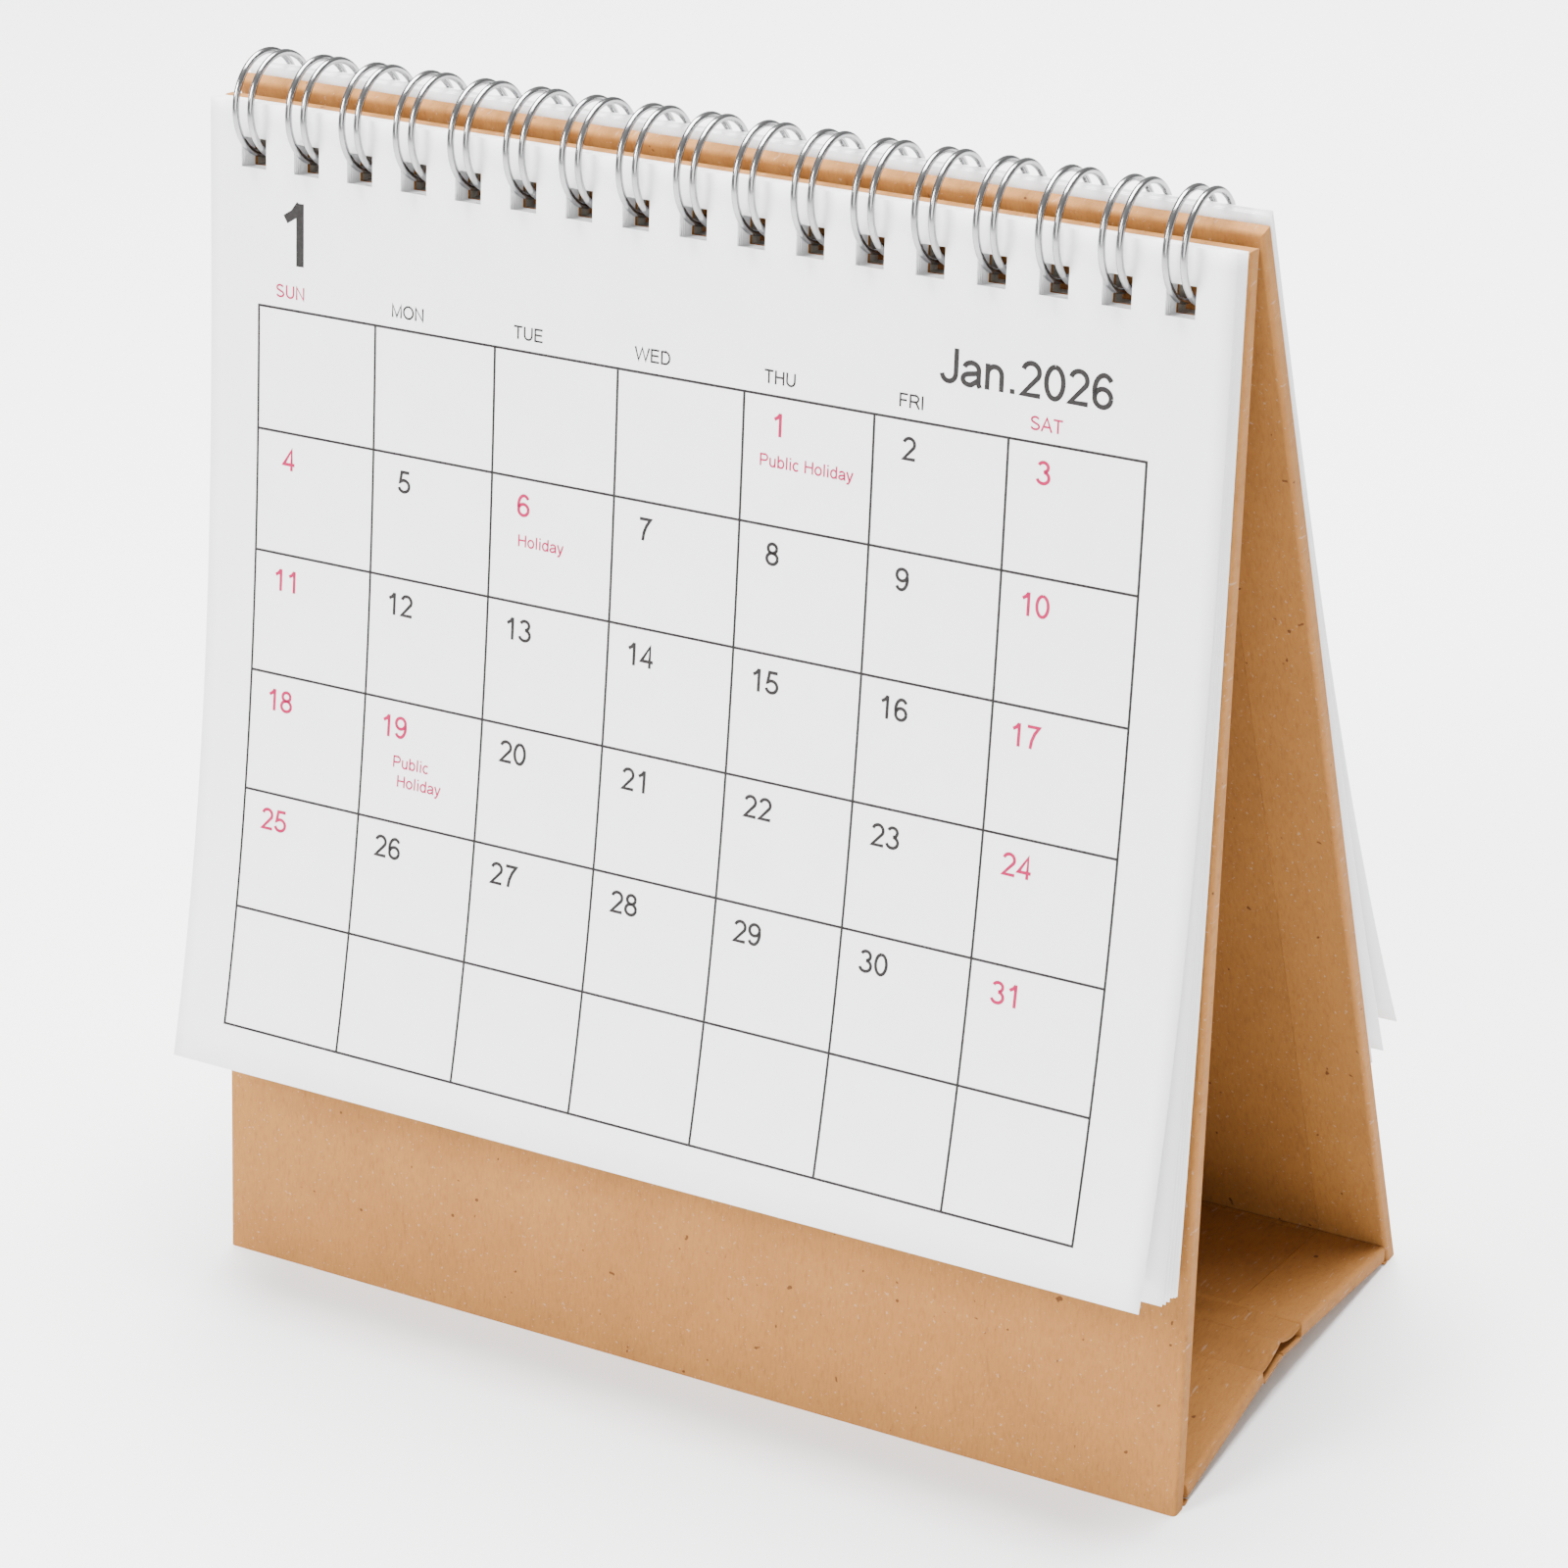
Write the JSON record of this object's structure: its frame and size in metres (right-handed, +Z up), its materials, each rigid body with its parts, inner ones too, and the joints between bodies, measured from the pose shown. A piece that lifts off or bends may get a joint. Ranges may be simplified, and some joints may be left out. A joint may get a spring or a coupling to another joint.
{
  "type": "flip desk calendar",
  "caption": "Free-standing flip desk calendar: a folding kraft-board easel, twin-loop wire binding and punched month sheets that turn over the top.",
  "frame": {"origin": "on the table, at the middle of the footprint", "axes": "+X to the reader's right, along the binding wire; -Y is the front, where the sheets are read; +Z up"},
  "size_m": [0.15, 0.072, 0.1685],
  "materials": {
    "kraft_cover": "matte",
    "kraft_lining": "matte",
    "greyboard": "matte",
    "page_paper": "matte",
    "wire": "satin"
  },
  "bodies": {
    "front_panel": {"front_panel_cover": "kraft_cover", "front_panel_core": "greyboard", "front_panel_lining": "kraft_lining", "front_foot_crease": "kraft_cover", "binding_wire": "wire"},
    "back_panel": {"back_panel_cover": "kraft_cover", "back_panel_core": "greyboard", "back_panel_lining": "kraft_lining", "back_foot_crease": "kraft_cover"},
    "front_base": {"front_base_cover": "kraft_cover", "front_base_core": "greyboard", "front_base_lining": "kraft_lining", "front_ridge_crease": "kraft_lining"},
    "rear_base": {"rear_base_cover": "kraft_cover", "rear_base_core": "greyboard", "rear_base_lining": "kraft_lining", "rear_ridge_crease": "kraft_lining"},
    "front_sheets": {"front_sheet_02": "page_paper", "front_sheet_03": "page_paper", "front_sheet_04": "page_paper", "front_sheet_05": "page_paper", "front_sheet_06": "page_paper", "front_sheet_07": "page_paper", "front_sheet_08": "page_paper", "front_sheet_09": "page_paper", "front_sheet_10": "page_paper", "front_sheet_11": "page_paper", "front_sheet_12": "page_paper", "front_sheet_13": "page_paper"},
    "front_sheet": {"front_sheet_01": "page_paper"},
    "back_sheets": {"back_sheet_01": "page_paper", "back_sheet_02": "page_paper"},
    "turned_sheet": {"back_sheet_03": "page_paper"}
  },
  "joints": [
    {"name": "stand_fold", "type": "hinge", "parent": "front_panel", "child": "back_panel", "pos_m": [0, 0.00086, 0.16123], "axis": [-1, 0, 0], "range_deg": [0, 18.2]},
    {"name": "front_base_fold", "type": "hinge", "parent": "front_panel", "child": "front_base", "pos_m": [0, -0.02843, 0.00292], "axis": [1, 0, 0], "range_deg": [0, 70], "deforming": ["front_ridge_crease"]},
    {"name": "rear_base_fold", "type": "hinge", "parent": "back_panel", "child": "rear_base", "pos_m": [0, 0.0318, 0.00293], "axis": [-1, 0, 0], "range_deg": [0, 71.6], "deforming": ["rear_ridge_crease"]},
    {"name": "front_sheet_lift", "type": "hinge", "parent": "front_sheets", "child": "front_sheet", "pos_m": [0, 0.00086, 0.16123], "axis": [-1, 0, 0], "range_deg": [0, 125]},
    {"name": "front_sheets_lift", "type": "hinge", "parent": "front_panel", "child": "front_sheets", "pos_m": [0, 0.00086, 0.16123], "axis": [1, 0, 0], "range_deg": [-85, 0]},
    {"name": "back_sheets_lift", "type": "hinge", "parent": "back_panel", "child": "back_sheets", "pos_m": [0, 0.00086, 0.16123], "axis": [-1, 0, 0], "range_deg": [-25, 0]},
    {"name": "turned_sheet_lift", "type": "hinge", "parent": "back_sheets", "child": "turned_sheet", "pos_m": [0, 0.00086, 0.16123], "axis": [-1, 0, 0], "range_deg": [-60, 0]}
  ],
  "couplings": [
    {"joint": "front_base_fold", "follows": "stand_fold", "ratio": 3.8461},
    {"joint": "rear_base_fold", "follows": "stand_fold", "ratio": 3.934}
  ]
}
